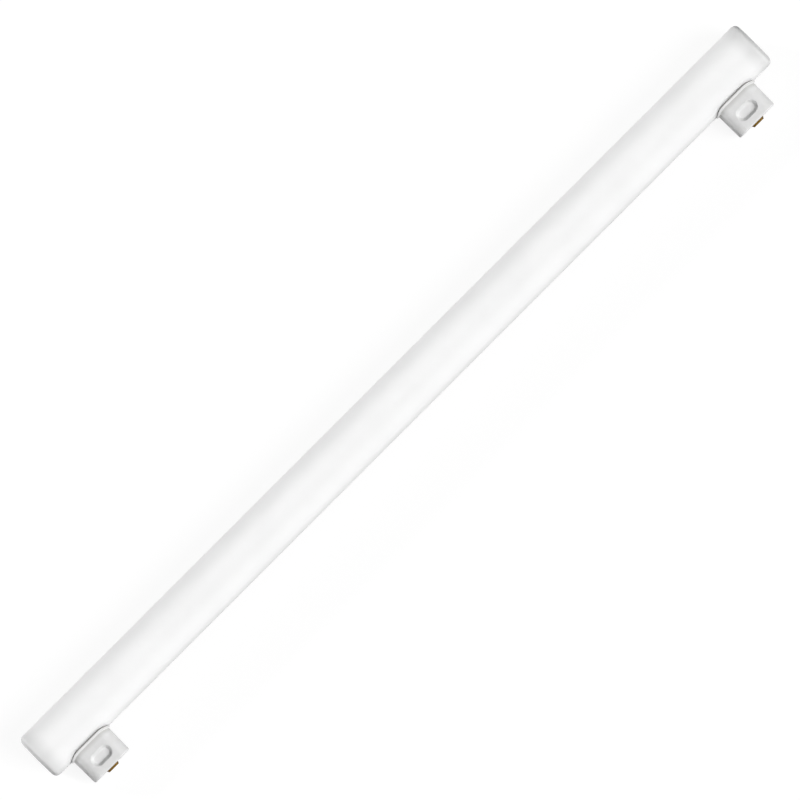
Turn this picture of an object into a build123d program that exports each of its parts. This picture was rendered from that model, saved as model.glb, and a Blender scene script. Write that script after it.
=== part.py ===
from build123d import *

import os
from math import asin, atan2, cos, degrees, hypot, radians, sin, tan

# A tubular lamp of opal glass with two side caps, 500 mm long, all sizes in millimetres.
# Each cap is drawn in its own frame: the tube's axis is X, the cap points along -Z,
# and its origin lies on the tube's axis. The finished lamp is then turned and lowered
# until it lies on a floor, as it would come to rest: on the tube and one edge of each cap.

# The sealed glass tube
TUBE_DIAMETER = 26.5
TUBE_RIM_RADIUS = 3.0
CAP_PITCH = 450.0  # between the centres of the two caps
OVERHANG_LEFT = 23.75  # from the left cap's centre to the tube's left end
OVERHANG_RIGHT = 26.25  # the same on the right
NIPPLE_DIAMETER = 5.0  # glass nipple inside each cap, where the lead leaves the tube
NIPPLE_HEIGHT = 3.0
NIPPLE_EDGE_RADIUS = 0.8

# The moulded cap, measured at its flat end
CAP_HEIGHT = 15.45  # from the glass to the cap's flat end
CAP_LENGTH = 23.7
CAP_WIDTH = 13.8
CAP_CORNER_RADIUS = 5.4
CAP_DRAFT = 0.7  # degrees, the cap widens towards the tube
CAP_EDGE_RADIUS = 1.0  # around the flat end
CAP_WALL = 1.6
CAP_FLOOR = 1.8

# The cap's saddle, a little wider than the glass, and the lip that lies along it
SADDLE_SLACK = 2.35  # how much larger the saddle's radius is than the tube's
BED_GAP = 0.15  # between the glass and the saddle where they are closest, filled by cement
LIP_OVERHANG = 1.1
LIP_THICKNESS = 0.55
LIP_EDGE_RADIUS = 0.2
LIP_FILLET = 0.3  # between the lip and the body
GROOVE_DEPTH = 0.35  # how far the cement stays back from the lip's edge

# The recess for the holder's spring, one on each long side of the cap
RECESS_LENGTH = 12.2
RECESS_HEIGHT = 7.0
RECESS_DEPTH = 1.9
RECESS_SLOPE = 37.0  # degrees, how far its walls lean outwards
RECESS_FROM_END = 7.5  # from its middle to the cap's flat end
RECESS_MOUTH_RADIUS = 0.4
RECESS_FLOOR_RADIUS = 0.5
RECESS_WALL = 1.2

# The brass contact in the cap's flat end
CONTACT_LENGTH = 7.75
CONTACT_WIDTH = 4.4
CONTACT_HEIGHT = 1.2
CONTACT_SLOPE = 31.0  # degrees, how far its sides lean inwards
CONTACT_EDGE_RADIUS = 0.25
SHANK_LENGTH = 4.4
SHANK_WIDTH = 1.8
SHANK_CLEARANCE = 0.1
CLENCH_MARGIN = 1.0  # how far the clenched inner end overlaps the slot
CLENCH_THICKNESS = 0.6

# The lead from the glass nipple to the contact, and the solder that holds it there
LEAD_DIAMETER = 0.6
LEAD_BOW = 1.6  # how far its slack stands out sideways
LEAD_BEND_RADIUS = 1.5
SOLDER_DIAMETER = 2.2

tube_radius = TUBE_DIAMETER / 2
saddle_radius = tube_radius + SADDLE_SLACK
saddle_axis_height = SADDLE_SLACK - BED_GAP  # of the saddle's axis over the tube's
cap_reach = tube_radius + CAP_HEIGHT  # from the tube's axis to the cap's flat end
cap_inner_end = cap_reach - CAP_FLOOR
recess_reach = cap_reach - RECESS_FROM_END  # from the tube's axis to the recess's middle
clench_reach = cap_inner_end - CLENCH_THICKNESS
cap_centres = {"left": -CAP_PITCH / 2, "right": CAP_PITCH / 2}


def rod_along_x(radius, length):
    """A cylinder around the tube's axis."""
    return Rot(0, 90, 0) * Cylinder(radius, length)


def drafted_block(inset, end_reach):
    """The cap's body as a solid block, drawn in by inset, from end_reach up to the axis."""
    widening = (cap_reach - end_reach) * tan(radians(CAP_DRAFT))
    end = RectangleRounded(
        CAP_LENGTH + 2 * (widening - inset),
        CAP_WIDTH + 2 * (widening - inset),
        CAP_CORNER_RADIUS + widening - inset,
    )
    return extrude(Pos(0, 0, -end_reach) * end, end_reach, dir=(0, 0, 1), taper=-CAP_DRAFT)


def lip_prism(inset):
    """An upright prism of the lip's outline, drawn in by inset, from below the cap to the axis."""
    lip_width_at_glass = CAP_HEIGHT * tan(radians(CAP_DRAFT)) + LIP_OVERHANG - inset
    outline = RectangleRounded(
        CAP_LENGTH + 2 * lip_width_at_glass,
        CAP_WIDTH + 2 * lip_width_at_glass,
        CAP_CORNER_RADIUS + lip_width_at_glass,
    )
    return extrude(Pos(0, 0, -cap_reach) * outline, cap_reach, dir=(0, 0, 1))


def saddle_rod(outset):
    """A rod that fills the cap's saddle, thicker by outset."""
    return Pos(0, 0, saddle_axis_height) * rod_along_x(saddle_radius + outset, 2 * CAP_LENGTH)


def distance_from_saddle(point):
    """How far a point lies outside the saddle's surface."""
    return hypot(point.Y, point.Z - saddle_axis_height) - saddle_radius


def lip():
    """The lip as a saddle-shaped plate with soft edges, before the cap is hollowed."""
    plate = (saddle_rod(LIP_THICKNESS) - saddle_rod(0)) & lip_prism(0)
    half_thickness = LIP_THICKNESS / 2
    rim_edges = plate.edges().filter_by(
        lambda edge: abs(distance_from_saddle(edge.center()) - half_thickness) > half_thickness / 2
    )
    return fillet(rim_edges, LIP_EDGE_RADIUS)


def recess_half_width():
    """How far the cap's long side stands from its middle plane, at the recess."""
    return CAP_WIDTH / 2 + RECESS_FROM_END * tan(radians(CAP_DRAFT))


def on_both_sides(front):
    """A shape on the cap's front side and its mirror image on the back."""
    return [front, mirror(front, about=Plane.XZ)]


def recess_cutter():
    """The hollow of the front recess, with sloping walls and a soft floor edge."""
    mouth_margin = RECESS_MOUTH_RADIUS
    slope_run = tan(radians(RECESS_SLOPE))
    floor_inset = RECESS_DEPTH * slope_run
    floor_outline = SlotOverall(RECESS_LENGTH - 2 * floor_inset, RECESS_HEIGHT - 2 * floor_inset)
    floor_plane = Plane(
        origin=(0, RECESS_DEPTH - recess_half_width(), -recess_reach),
        x_dir=(1, 0, 0),
        z_dir=(0, -1, 0),
    )
    hollow = extrude(floor_plane * floor_outline, RECESS_DEPTH + mouth_margin, taper=-RECESS_SLOPE)
    floor_edges = hollow.faces().sort_by(Axis.Y)[-1].edges()
    return fillet(floor_edges, RECESS_FLOOR_RADIUS)


def recess_back():
    """The wall behind the front recess, standing into the hollow of the cap."""
    outline = SlotOverall(RECESS_LENGTH + 2 * RECESS_WALL, RECESS_HEIGHT + 2 * RECESS_WALL)
    face_plane = Plane(
        origin=(0, -recess_half_width(), -recess_reach),
        x_dir=(1, 0, 0),
        z_dir=(0, 1, 0),
    )
    return extrude(face_plane * outline, RECESS_DEPTH + RECESS_WALL)


def contact_slot():
    """The slot in the cap's flat end that the contact's shank passes through."""
    outline = SlotOverall(SHANK_LENGTH + 2 * SHANK_CLEARANCE, SHANK_WIDTH + 2 * SHANK_CLEARANCE)
    return extrude(Pos(0, 0, -cap_reach) * outline, CAP_FLOOR, dir=(0, 0, 1))


def cap_housing():
    """One moulded cap: a hollow body with a lip along the glass and a recess on each side."""
    block = drafted_block(0, cap_reach)
    block = fillet(block.faces().sort_by(Axis.Z)[0].edges(), CAP_EDGE_RADIUS)
    body = block - saddle_rod(0)
    plate = lip()
    housing = body + plate
    inner_corner = new_edges(body, plate, combined=housing)
    housing = fillet(inner_corner, LIP_FILLET)
    for hollow in on_both_sides(recess_cutter()):
        housing -= hollow
    mouth_edges = [
        edge
        for edge in housing.edges()
        if abs(abs(edge.center().Y) - recess_half_width()) < RECESS_MOUTH_RADIUS / 2
        and abs(edge.center().X) < RECESS_LENGTH / 2 + RECESS_MOUTH_RADIUS
        and abs(edge.center().Z + recess_reach) < RECESS_HEIGHT / 2 + RECESS_MOUTH_RADIUS
    ]
    housing = fillet(mouth_edges, RECESS_MOUTH_RADIUS)
    cavity = drafted_block(CAP_WALL, cap_inner_end)
    for back in on_both_sides(recess_back()):
        cavity -= back
    return housing - cavity - contact_slot()


def cement_bed():
    """The thin ring of cement between the glass and the cap's saddle."""
    bed = (saddle_rod(0) & lip_prism(GROOVE_DEPTH)) - rod_along_x(tube_radius, 2 * CAP_LENGTH)
    return bed - drafted_block(CAP_WALL, cap_inner_end)


def contact():
    """The brass contact: a sloping head outside, a shank and a clenched inner end."""
    head = extrude(
        Pos(0, 0, -cap_reach) * SlotOverall(CONTACT_LENGTH, CONTACT_WIDTH),
        CONTACT_HEIGHT,
        dir=(0, 0, -1),
        taper=CONTACT_SLOPE,
    )
    head = fillet(head.faces().sort_by(Axis.Z)[0].edges(), CONTACT_EDGE_RADIUS)
    shank = extrude(
        Pos(0, 0, -cap_reach) * SlotOverall(SHANK_LENGTH, SHANK_WIDTH),
        CAP_FLOOR,
        dir=(0, 0, 1),
    )
    clench = extrude(
        Pos(0, 0, -cap_inner_end)
        * SlotOverall(SHANK_LENGTH + 2 * CLENCH_MARGIN, SHANK_WIDTH + 2 * CLENCH_MARGIN),
        CLENCH_THICKNESS,
        dir=(0, 0, 1),
    )
    return head + shank + clench


def lead_wire():
    """The lead, with a little slack, from the nipple's tip to the contact's inner end."""
    top = -(tube_radius + NIPPLE_HEIGHT)
    bottom = -clench_reach
    step = (top - bottom) / 4
    path = FilletPolyline(
        (0, 0, top),
        (0, 0, top - step),
        (LEAD_BOW, 0, top - 2 * step),
        (0, 0, top - 3 * step),
        (0, 0, bottom),
        radius=LEAD_BEND_RADIUS,
    )
    section = Plane(origin=(0, 0, top), z_dir=(0, 0, -1)) * Circle(LEAD_DIAMETER / 2)
    return sweep(section, path=path)


def solder_bead():
    """The bead of solder on the contact's inner end, around the lead."""
    standing = (Align.CENTER, Align.CENTER, Align.MIN)
    dome = Sphere(SOLDER_DIAMETER / 2, arc_size1=0, align=standing)
    hole = Cylinder(LEAD_DIAMETER / 2, SOLDER_DIAMETER, align=standing)
    return Pos(0, 0, -clench_reach) * (dome - hole)


def glass_nipple():
    """The sealed glass nipple under a cap, reaching back into the tube."""
    tip = tube_radius + NIPPLE_HEIGHT
    nipple = extrude(Pos(0, 0, -tip) * Circle(NIPPLE_DIAMETER / 2), tip, dir=(0, 0, 1))
    return fillet(nipple.faces().sort_by(Axis.Z)[0].edges(), NIPPLE_EDGE_RADIUS)


def opal_tube():
    """The sealed tube, which can't be seen into, with a nipple under each cap."""
    length = OVERHANG_LEFT + CAP_PITCH + OVERHANG_RIGHT
    tube = Pos((OVERHANG_RIGHT - OVERHANG_LEFT) / 2, 0, 0) * rod_along_x(tube_radius, length)
    ends = [tube.faces().sort_by(Axis.X)[0], tube.faces().sort_by(Axis.X)[-1]]
    tube = fillet([edge for end in ends for edge in end.edges()], TUBE_RIM_RADIUS)
    for centre in cap_centres.values():
        tube += Pos(centre, 0, 0) * glass_nipple()
    return tube


def resting_angle():
    """How far the caps point below level when the lamp lies on the tube and its caps' edges."""
    draft = radians(CAP_DRAFT)
    edge_reach = cap_reach - CAP_EDGE_RADIUS
    edge_offset = CAP_WIDTH / 2 - CAP_EDGE_RADIUS * (1 / cos(draft) - tan(draft))
    lever = hypot(edge_reach, edge_offset)
    drop = asin((tube_radius - CAP_EDGE_RADIUS) / lever)
    return degrees(drop - atan2(edge_offset, edge_reach))


def lamp():
    """Every piece of the lamp by its name, with the caps pointing along -Z."""
    pieces = {"opal_tube": opal_tube()}
    makers = {
        "cap_housing": cap_housing,
        "cement_bed": cement_bed,
        "contact": contact,
        "lead_wire": lead_wire,
        "solder_bead": solder_bead,
    }
    for name, make in makers.items():
        piece = make()
        for side, centre in cap_centres.items():
            pieces[f"{name}_{side}"] = Pos(centre, 0, 0) * piece
    return pieces


def laid_to_rest(pieces):
    """The pieces turned as they lie on the floor, with the origin below the middle of them all."""
    lying = Rot(-(90 - resting_angle()), 0, 0)
    turned = {name: lying * piece for name, piece in pieces.items()}
    box = Compound([*turned.values()]).bounding_box()
    home = Pos(-box.center().X, -box.center().Y, -box.min.Z)
    return {name: home * piece for name, piece in turned.items()}


os.makedirs("parts", exist_ok=True)
for node, piece in laid_to_rest(lamp()).items():
    export_step(piece, f"parts/{node}.step")
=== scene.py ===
"""Looks of a tubular lamp of opal glass with two side caps, lying in a white studio.

Every length is in metres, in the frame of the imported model: X runs along the tube, Z points up,
and the caps point towards -Y and a little down.
"""

import logging
from dataclasses import dataclass, field
from enum import Enum
from math import cos, pi, radians, sin, sqrt
from typing import Union

import bmesh
import bpy
from mathutils import Matrix, Vector


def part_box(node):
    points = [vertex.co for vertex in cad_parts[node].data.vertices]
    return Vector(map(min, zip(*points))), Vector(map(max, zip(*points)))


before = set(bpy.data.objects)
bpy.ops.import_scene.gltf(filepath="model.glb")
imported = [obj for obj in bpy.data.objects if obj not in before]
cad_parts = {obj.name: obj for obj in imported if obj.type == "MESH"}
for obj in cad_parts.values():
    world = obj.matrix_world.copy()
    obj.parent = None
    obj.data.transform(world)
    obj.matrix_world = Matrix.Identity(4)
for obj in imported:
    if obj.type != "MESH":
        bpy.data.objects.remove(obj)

log = logging.getLogger("tubular_lamp")

Number = Union[int, float]
Colour = tuple[float, float, float]
Operand = Union["Flow", Number]
Plug = Union["Flow", Number, tuple[float, ...], Vector]

# The places of a Mix node's sockets for colours: its other kinds have sockets of the same names.
MIX_FACTOR, MIX_FIRST, MIX_SECOND, MIX_RESULT = 0, 6, 7, 2

NOISE_MIDDLE = 0.5
METAL = 1.0


class Flow:
    """A node's output that takes part in Python expressions, each of which adds its Math nodes."""

    def __init__(self, graph: "Graph", socket: bpy.types.NodeSocket) -> None:
        """Keeps the output socket and the graph that it belongs to."""
        self.graph = graph
        self.socket = socket

    def _math(self, operation: str, *operands: Operand) -> "Flow":
        """Adds one Math node for the operands."""
        inputs = dict(enumerate(operands))
        return self.graph.node("ShaderNodeMath", {"operation": operation}, inputs)

    def __add__(self, other: Operand) -> "Flow":
        """This value plus another."""
        return self._math("ADD", self, other)

    def __radd__(self, other: Operand) -> "Flow":
        """Another value plus this one."""
        return self._math("ADD", other, self)

    def __sub__(self, other: Operand) -> "Flow":
        """This value less another."""
        return self._math("SUBTRACT", self, other)

    def __rsub__(self, other: Operand) -> "Flow":
        """Another value less this one."""
        return self._math("SUBTRACT", other, self)

    def __mul__(self, other: Operand) -> "Flow":
        """This value times another."""
        return self._math("MULTIPLY", self, other)

    def __rmul__(self, other: Operand) -> "Flow":
        """Another value times this one."""
        return self._math("MULTIPLY", other, self)

    def __abs__(self) -> "Flow":
        """This value without its sign."""
        return self._math("ABSOLUTE", self)


class Graph:
    """The node tree of one material, or of the world."""

    def __init__(self, tree: bpy.types.NodeTree) -> None:
        """Empties the tree."""
        self.tree = tree
        tree.nodes.clear()

    def node(
        self,
        kind: str,
        settings: dict[str, object] | None = None,
        inputs: dict[int | str, Plug] | None = None,
        output: int | str = 0,
    ) -> Flow | None:
        """Adds one node of any type.

        Args:
            kind: the node's type.
            settings: the node's own properties, set first.
            inputs: the value or flow of each socket, by its name or place.
            output: the name or place of the socket that the result stands for.

        Returns:
            The flow out of that socket, or None for a node without one.
        """
        made = self.tree.nodes.new(kind)
        for name, value in (settings or {}).items():
            setattr(made, name, value)
        for name, value in (inputs or {}).items():
            if isinstance(value, Flow):
                self.tree.links.new(value.socket, made.inputs[name])
            else:
                made.inputs[name].default_value = value
        return Flow(self, made.outputs[output]) if made.outputs else None

    def blend(self, factor: Plug, first: Plug, second: Plug) -> Flow:
        """Mixes two colours.

        Args:
            factor: 0 for the first colour, 1 for the second.
            first: a colour with its alpha, or a flow of colour.
            second: the same.

        Returns:
            The mixed colour.
        """
        inputs = {MIX_FACTOR: factor, MIX_FIRST: first, MIX_SECOND: second}
        return self.node("ShaderNodeMix", {"data_type": "RGBA"}, inputs, MIX_RESULT)

    def rise(self, value: Plug, start: float, end: float) -> Flow:
        """A soft step.

        Args:
            value: what it follows.
            start: where it leaves 0.
            end: where it reaches 1.

        Returns:
            0 before start, 1 after end, and a smooth rise between them.
        """
        return self.node(
            "ShaderNodeMapRange",
            {"interpolation_type": "SMOOTHSTEP"},
            {"Value": value, "From Min": start, "From Max": end},
        )

    def place(self) -> Flow:
        """Where a point of the surface lies in the lamp's own frame."""
        return self.node("ShaderNodeTexCoord", output="Object")

    def reach(self, place: Flow) -> Flow:
        """How far a point lies from the glass tube's axis.

        Args:
            place: the coordinates.

        Returns:
            The distance, in metres.
        """
        kind = "ShaderNodeVectorMath"
        offset = self.node(kind, {"operation": "SUBTRACT"}, {0: place, 1: tube_centre()})
        across = self.node(kind, {"operation": "MULTIPLY"}, {0: offset, 1: (0, 1, 1)})
        return self.node(kind, {"operation": "LENGTH"}, {0: across}, "Value")

    def noise(self, place: Flow, grain: float, detail: float = 2.0) -> Flow:
        """Soft random patches.

        Args:
            place: the coordinates.
            grain: the size of a patch, in metres.
            detail: how many finer layers it has.

        Returns:
            Values around one half.
        """
        inputs = {"Vector": place, "Scale": 1 / grain, "Detail": detail}
        return self.node("ShaderNodeTexNoise", None, inputs)

    def swing(self, noise: Flow, width: float) -> Flow:
        """A noise made to swing around 0.

        Args:
            noise: values around one half.
            width: how far its values may lie apart.

        Returns:
            Values around 0.
        """
        return width * (noise - NOISE_MIDDLE)

    def relief(self, height: Flow, depth: float) -> Flow:
        """Bends the surface's normal by a height.

        Args:
            height: 0 to 1 over the surface.
            depth: how deep the relief is, in metres.

        Returns:
            The bent normal.
        """
        inputs = {"Height": height, "Distance": depth, "Strength": 1.0}
        return self.node("ShaderNodeBump", None, inputs)


def tube_centre() -> Vector:
    """The middle of the glass tube's axis."""
    low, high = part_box("opal_tube")
    radius = (high.z - low.z) / 2
    return Vector(((low.x + high.x) / 2, high.y - radius, low.z + radius))


def opaque(colour: Colour) -> tuple[float, float, float, float]:
    """The colour with full alpha."""
    return (*colour, 1.0)


class Finish:
    """A procedural material that belongs to one slot of the record."""

    slot = ""

    def surface(self, graph: Graph) -> Flow:
        """Adds the finish's nodes and returns its shader."""
        raise NotImplementedError

    def material(self) -> bpy.types.Material:
        """The finish as a new Blender material."""
        material = bpy.data.materials.new(f"{self.slot}_finish")
        material.use_nodes = True
        graph = Graph(material.node_tree)
        graph.node("ShaderNodeOutputMaterial", None, {"Surface": self.surface(graph)})
        return material


@dataclass(frozen=True)
class OpalGlass(Finish):
    """White opal glass with a matt skin that light spreads through, with painted shade at its
    rims.

    The reaches towards the ends are measured from the tube's ends, and the disc's and the rim's
    from its axis: a flat end stays white inside the one and has its rim's painted shade from
    the other.
    """

    slot = "opal_glass"
    white: Colour = (0.815, 0.815, 0.815)
    milky: Colour = (0.795, 0.795, 0.795)
    # painted shade: darker glass colours stand in for the shade towards the ends and on the rims
    end_painted_shade: Colour = (0.62, 0.62, 0.62)
    rim_painted_shade: Colour = (0.5, 0.5, 0.5)
    half_length: float = 0.25
    end_shade_reach: float = 0.0115
    rim_shade_reach: float = 0.0022
    rim_shade_full: float = 0.0008
    disc_reach: float = 0.0075
    rim_reach: float = 0.0103
    cloud: float = 0.018
    cloud_detail: float = 3.0
    cloud_start: float = 0.3
    cloud_end: float = 0.8
    ripple: float = 0.006
    ripple_depth: float = 0.000012
    spread: float = 0.009
    spread_shares: Colour = (1.0, 1.0, 1.0)
    roughness: float = 0.6
    roughness_width: float = 0.1
    bend: float = 1.35
    gloss: float = 0.0

    def surface(self, graph: Graph) -> Flow:
        """Adds the glass's nodes and returns its shader."""
        place = graph.place()
        along = abs(graph.node("ShaderNodeSeparateXYZ", None, {"Vector": place}))
        on_rim = graph.rise(graph.reach(place), self.disc_reach, self.rim_reach)
        end = self.half_length
        # painted shade towards the ends and darker painted shade on the rounded rims, blended into
        # the glass
        end_shade_amount = on_rim * graph.rise(along, end - self.end_shade_reach, end)
        rim_shade_amount = on_rim * graph.rise(along, end - self.rim_shade_reach, end - self.rim_shade_full)
        patches = graph.noise(place, self.cloud, self.cloud_detail)
        clouds = graph.rise(patches, self.cloud_start, self.cloud_end)
        ripples = graph.noise(place, self.ripple)
        body = graph.blend(clouds, opaque(self.white), opaque(self.milky))
        body_with_end_shade = graph.blend(end_shade_amount, body, opaque(self.end_painted_shade))
        return graph.node(
            "ShaderNodeBsdfPrincipled",
            {"subsurface_method": "RANDOM_WALK"},
            {
                "Base Color": graph.blend(rim_shade_amount, body_with_end_shade, opaque(self.rim_painted_shade)),
                "Roughness": self.roughness + graph.swing(ripples, self.roughness_width),
                "IOR": self.bend,
                "Specular IOR Level": self.gloss,
                "Subsurface Weight": 1.0,
                "Subsurface Radius": self.spread_shares,
                "Subsurface Scale": self.spread,
                "Normal": graph.relief(ripples, self.ripple_depth),
            },
        )


@dataclass(frozen=True)
class MouldedPlastic(Finish):
    """Pale grey plastic with the fine grain of its mould, and painted shade under the lip.

    The lip's reach and the painted shade's are measured from the glass tube's axis.
    """

    slot = "cap_plastic"
    grey: Colour = (0.67, 0.67, 0.67)
    cloudy: Colour = (0.63, 0.63, 0.625)
    # painted shade: a darker grey stands in for the shade in the corner under the lip
    under_lip_painted_shade: Colour = (0.50, 0.50, 0.49)
    lip_reach: float = 0.0145
    lip_blur: float = 0.0002
    painted_shade_reach: float = 0.0169
    painted_shade_width: float = 0.0008
    cloud: float = 0.003
    cloud_start: float = 0.3
    cloud_end: float = 0.8
    detail: float = 3.0
    roughness: float = 0.42
    roughness_width: float = 0.12
    bend: float = 1.5
    grain: float = 0.00025
    grain_depth: float = 0.000004

    def under_lip_shade_amount(self, graph: Graph, place: Flow, unevenness: Flow) -> Flow:
        """How much painted shade lies on the plastic.

        Args:
            graph: the plastic's nodes.
            place: the coordinates.
            unevenness: values around one half that make its edge uneven.

        Returns:
            1 under the lip, 0 on the lip and well below it.
        """
        reach = graph.reach(place)
        uneven = reach + graph.swing(unevenness, self.painted_shade_width)
        below_lip = graph.rise(reach, self.lip_reach - self.lip_blur, self.lip_reach)
        return below_lip * (1 - graph.rise(uneven, self.lip_reach, self.painted_shade_reach))

    def surface(self, graph: Graph) -> Flow:
        """Adds the plastic's nodes and returns its shader."""
        place = graph.place()
        grain = graph.noise(place, self.grain, self.detail)
        patches = graph.noise(place, self.cloud, self.detail)
        clouds = graph.rise(patches, self.cloud_start, self.cloud_end)
        body = graph.blend(clouds, opaque(self.grey), opaque(self.cloudy))
        # painted shade under the lip, blended into the plastic's grey
        under_lip_shade_amount = self.under_lip_shade_amount(graph, place, patches)
        return graph.node(
            "ShaderNodeBsdfPrincipled",
            None,
            {
                "Base Color": graph.blend(under_lip_shade_amount, body, opaque(self.under_lip_painted_shade)),
                "Roughness": self.roughness + graph.swing(grain, self.roughness_width),
                "IOR": self.bend,
                "Normal": graph.relief(grain, self.grain_depth),
            },
        )


@dataclass(frozen=True)
class CapCement(Finish):
    """The dark grey, fine-grained cement between cap and glass."""

    slot = "cement"
    grey: Colour = (0.30, 0.295, 0.285)
    dark: Colour = (0.20, 0.196, 0.188)
    grain: float = 0.00012
    grain_depth: float = 0.00003
    detail: float = 4.0
    grey_start: float = 0.35
    grey_end: float = 0.7
    roughness: float = 0.9

    def surface(self, graph: Graph) -> Flow:
        """Adds the cement's nodes and returns its shader."""
        grain = graph.noise(graph.place(), self.grain, self.detail)
        patches = graph.rise(grain, self.grey_start, self.grey_end)
        return graph.node(
            "ShaderNodeBsdfPrincipled",
            None,
            {
                "Base Color": graph.blend(patches, opaque(self.dark), opaque(self.grey)),
                "Roughness": self.roughness,
                "Normal": graph.relief(grain, self.grain_depth),
            },
        )


@dataclass(frozen=True)
class ContactBrass(Finish):
    """Stamped brass, darkened in patches and finely scratched."""

    slot = "contact_brass"
    bright: Colour = (0.155, 0.088, 0.018)
    tarnished: Colour = (0.055, 0.029, 0.006)
    patch: float = 0.0009
    patch_detail: float = 4.0
    tarnish_start: float = 0.4
    tarnish_end: float = 0.75
    scratch: float = 0.00008
    scratch_depth: float = 0.000004
    roughness: float = 0.3
    tarnish_roughness: float = 0.2

    def surface(self, graph: Graph) -> Flow:
        """Adds the brass's nodes and returns its shader."""
        place = graph.place()
        patches = graph.noise(place, self.patch, self.patch_detail)
        tarnish = graph.rise(patches, self.tarnish_start, self.tarnish_end)
        scratches = graph.noise(place, self.scratch)
        return graph.node(
            "ShaderNodeBsdfPrincipled",
            None,
            {
                "Base Color": graph.blend(tarnish, opaque(self.bright), opaque(self.tarnished)),
                "Metallic": METAL,
                "Roughness": self.roughness + self.tarnish_roughness * tarnish,
                "Normal": graph.relief(scratches, self.scratch_depth),
            },
        )


@dataclass(frozen=True)
class DrawnWire(Finish):
    """Tinned wire with faint, fine marks from its drawing."""

    slot = "tinned_wire"
    tin: Colour = (0.72, 0.72, 0.7)
    mark: float = 0.00006
    mark_depth: float = 0.000003
    roughness: float = 0.25
    mark_roughness: float = 0.2

    def surface(self, graph: Graph) -> Flow:
        """Adds the wire's nodes and returns its shader."""
        marks = graph.noise(graph.place(), self.mark)
        return graph.node(
            "ShaderNodeBsdfPrincipled",
            None,
            {
                "Base Color": opaque(self.tin),
                "Metallic": METAL,
                "Roughness": self.roughness + self.mark_roughness * marks,
                "Normal": graph.relief(marks, self.mark_depth),
            },
        )


@dataclass(frozen=True)
class SoftSolder(Finish):
    """Solder, bright but a little uneven."""

    slot = "solder"
    tin: Colour = (0.66, 0.66, 0.65)
    ripple: float = 0.0003
    ripple_detail: float = 3.0
    ripple_depth: float = 0.00002
    roughness: float = 0.2
    ripple_roughness: float = 0.25

    def surface(self, graph: Graph) -> Flow:
        """Adds the solder's nodes and returns its shader."""
        ripples = graph.noise(graph.place(), self.ripple, self.ripple_detail)
        return graph.node(
            "ShaderNodeBsdfPrincipled",
            None,
            {
                "Base Color": opaque(self.tin),
                "Metallic": METAL,
                "Roughness": self.roughness + self.ripple_roughness * ripples,
                "Normal": graph.relief(ripples, self.ripple_depth),
            },
        )


class Side(Enum):
    """Which of the lamp's two caps a piece belongs to."""

    LEFT = "left"
    RIGHT = "right"


def dress(node: str, material: bpy.types.Material) -> None:
    """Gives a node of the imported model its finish.

    Args:
        node: the node's name.
        material: the finish.
    """
    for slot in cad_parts[node].material_slots:
        slot.material = material


@dataclass
class GlassTube:
    """The sealed opal tube."""

    node: str = "opal_tube"
    glass: OpalGlass = field(default_factory=OpalGlass)

    def build(self) -> str:
        """Dresses the tube and returns a line for the log."""
        dress(self.node, self.glass.material())
        return f"{self.node} in {self.glass.slot}"


@dataclass
class SideCap:
    """One side cap with its contact, and what it hides."""

    side: Side
    plastic: MouldedPlastic = field(default_factory=MouldedPlastic)
    cement: CapCement = field(default_factory=CapCement)
    brass: ContactBrass = field(default_factory=ContactBrass)
    wire: DrawnWire = field(default_factory=DrawnWire)
    solder: SoftSolder = field(default_factory=SoftSolder)

    def build(self) -> str:
        """Dresses the cap's pieces and returns a line for the log."""
        finishes = {
            "cap_housing": self.plastic,
            "cement_bed": self.cement,
            "contact": self.brass,
            "lead_wire": self.wire,
            "solder_bead": self.solder,
        }
        for piece, finish in finishes.items():
            dress(f"{piece}_{self.side.value}", finish.material())
        return f"{self.side.value} cap in {len(finishes)} finishes"


@dataclass
class ViewingFrame:
    """The photograph's directions, seen in the lamp's own frame."""

    cap_drop: float = radians(13.58)

    def __post_init__(self) -> None:
        """Works out the directions from the angle that the caps point below level."""
        self.along = Vector((1, 0, 0))
        self.caps = Vector((0, -cos(self.cap_drop), -sin(self.cap_drop)))
        self.viewer = Vector((0, -sin(self.cap_drop), cos(self.cap_drop)))
        self.right = (self.along + self.caps) / sqrt(2)
        self.up = (self.along - self.caps) / sqrt(2)

    def turned(self) -> Matrix:
        """The turn of a camera that looks from the viewer, with the photograph's sides level."""
        return Matrix((self.right, self.up, self.viewer)).transposed().to_4x4()


@dataclass
class PhotoCamera:
    """The camera at the photograph's viewing angle, far away behind a long lens."""

    view: ViewingFrame
    width: float = 0.3947
    lens: float = 1000.0
    sensor: float = 36.0
    off_right: float = 0.00212
    off_up: float = 0.00039
    nearest: float = 0.1
    farthest: float = 100.0

    def build(self) -> str:
        """Sets up the camera and returns a line for the log."""
        aim = tube_centre() + self.view.right * self.off_right + self.view.up * self.off_up
        distance = self.width * self.lens / self.sensor
        stand = Matrix.Translation(aim + self.view.viewer * distance)
        lens = bpy.data.cameras.new("photo_camera")
        lens.lens = self.lens
        lens.sensor_width = self.sensor
        lens.clip_start = self.nearest
        lens.clip_end = self.farthest
        camera = bpy.data.objects.new("photo_camera", lens)
        camera.matrix_world = stand @ self.view.turned()
        bpy.context.scene.collection.objects.link(camera)
        bpy.context.scene.camera = camera
        return f"camera {distance:.2f} m away"


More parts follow.
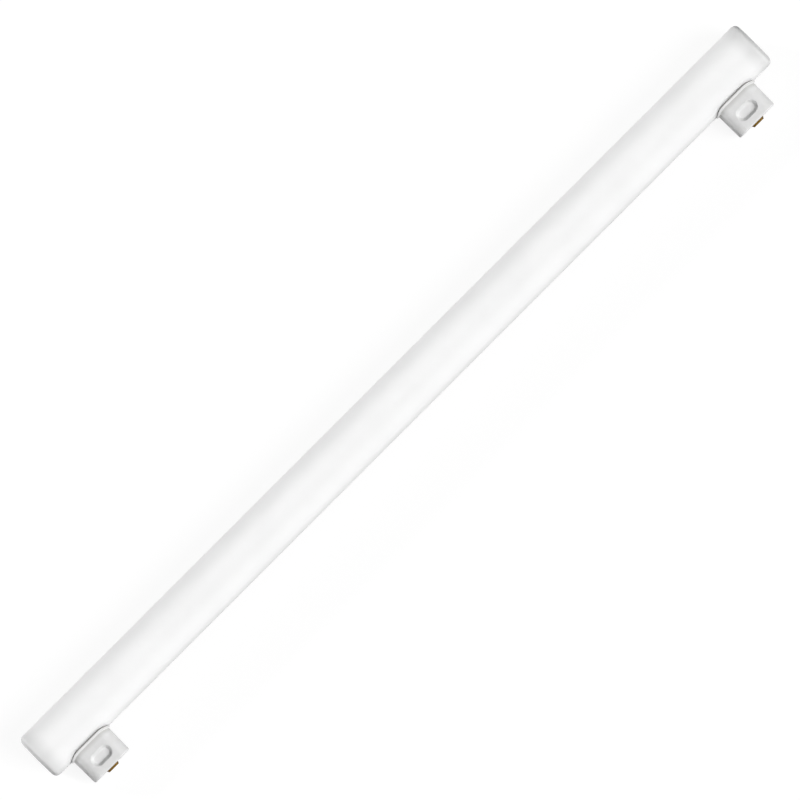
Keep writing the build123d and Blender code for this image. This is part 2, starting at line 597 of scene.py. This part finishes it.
@dataclass(frozen=True)
class SoftLamp:
    """A large, distant softbox, which lights the whole lamp evenly.

    Its direction is given by its shares towards the viewer, along the tube and the way the caps
    point, and its strength is what a white surface that faces it sends back.
    """

    name: str
    viewer: float
    along: float
    caps: float
    strength: float
    spread: float

    def build(self, view: ViewingFrame) -> None:
        """Adds the lamp to the scene."""
        towards = view.viewer * self.viewer + view.along * self.along + view.caps * self.caps
        lamp = bpy.data.lights.new(self.name, "SUN")
        lamp.angle = self.spread
        lamp.energy = self.strength * pi
        stand = bpy.data.objects.new(self.name, lamp)
        stand.rotation_euler = towards.to_track_quat("Z", "Y").to_euler()
        bpy.context.scene.collection.objects.link(stand)


@dataclass
class Studio:
    """A floor and a surround that look white, with little light of their own, and soft lamps.

    The floor's own grey is dark, and a glow that only the eye sees makes it white.
    """

    view: ViewingFrame
    lamps: tuple[SoftLamp, ...] = (
        SoftLamp("key", 1.0, 0.6, 0.76, 1.09, radians(40)),
        SoftLamp("front", 1.0, 0.0, 0.0, 0.14, radians(80)),
        SoftLamp("low", 0.2, -0.5, -1.0, 0.82, radians(10)),
        SoftLamp("side", 0.0, -1.0, 0.0, 0.42, radians(25)),
    )
    white: Colour = (1.0, 1.0, 1.0)
    ambient: float = 0.05
    floor_radius: float = 9.0
    floor_sides: int = 96
    floor_gap: float = 0.00002
    floor_grey: Colour = (0.12, 0.12, 0.12)
    floor_glow: float = 0.89

    def build(self) -> str:
        """Sets up the light and the floor and returns a line for the log."""
        self._surround()
        for lamp in self.lamps:
            lamp.build(self.view)
        self._floor()
        bpy.context.scene.view_settings.view_transform = "Standard"
        return f"floor of {self.floor_radius:.0f} m and {len(self.lamps)} soft lamps"

    @staticmethod
    def _seen(graph: Graph) -> Flow:
        """Tells what the camera sees from other light.

        Args:
            graph: the nodes of the floor or of the world.

        Returns:
            1 for what is seen by itself, in a reflection or through glass, and 0 otherwise.
        """
        kind = "ShaderNodeLightPath"
        camera = graph.node(kind, output="Is Camera Ray")
        glossy = graph.node(kind, output="Is Glossy Ray")
        through = graph.node(kind, output="Is Transmission Ray")
        clamped = {"operation": "ADD", "use_clamp": True}
        return graph.node("ShaderNodeMath", clamped, {0: camera + glossy, 1: through})

    def _surround(self) -> None:
        """Makes the world white to the eye and even in its light."""
        world = bpy.data.worlds.new("surround")
        bpy.context.scene.world = world
        world.use_nodes = True
        graph = Graph(world.node_tree)
        strength = self.ambient + self._seen(graph) * (1 - self.ambient)
        inputs = {"Color": opaque(self.white), "Strength": strength}
        light = graph.node("ShaderNodeBackground", None, inputs)
        graph.node("ShaderNodeOutputWorld", None, {"Surface": light})

    def _floor(self) -> None:
        """Adds the floor, a large disc that keeps the lamp's shadow."""
        mesh = bpy.data.meshes.new("floor")
        form = bmesh.new()
        bmesh.ops.create_circle(
            form, cap_ends=True, segments=self.floor_sides, radius=self.floor_radius
        )
        bmesh.ops.translate(form, verts=form.verts, vec=(0, 0, -self.floor_gap))
        form.to_mesh(mesh)
        form.free()
        floor = bpy.data.objects.new("floor", mesh)
        bpy.context.scene.collection.objects.link(floor)
        material = bpy.data.materials.new("white_floor")
        material.use_nodes = True
        graph = Graph(material.node_tree)
        matt = graph.node("ShaderNodeBsdfDiffuse", None, {"Color": opaque(self.floor_grey)})
        strength = self._seen(graph) * self.floor_glow
        glow = graph.node("ShaderNodeEmission", None, {"Strength": strength})
        both = graph.node("ShaderNodeAddShader", None, {0: matt, 1: glow})
        graph.node("ShaderNodeOutputMaterial", None, {"Surface": both})
        mesh.materials.append(material)


def main() -> None:
    """Builds the lamp's looks and the studio around it, and reports each piece."""
    logging.basicConfig(level=logging.INFO, format="%(message)s")
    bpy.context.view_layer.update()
    view = ViewingFrame()
    pieces = [
        PhotoCamera(view),
        Studio(view),
        GlassTube(),
        SideCap(Side.LEFT),
        SideCap(Side.RIGHT),
    ]
    for piece in pieces:
        log.info(piece.build())


if __name__ == "__main__":
    main()
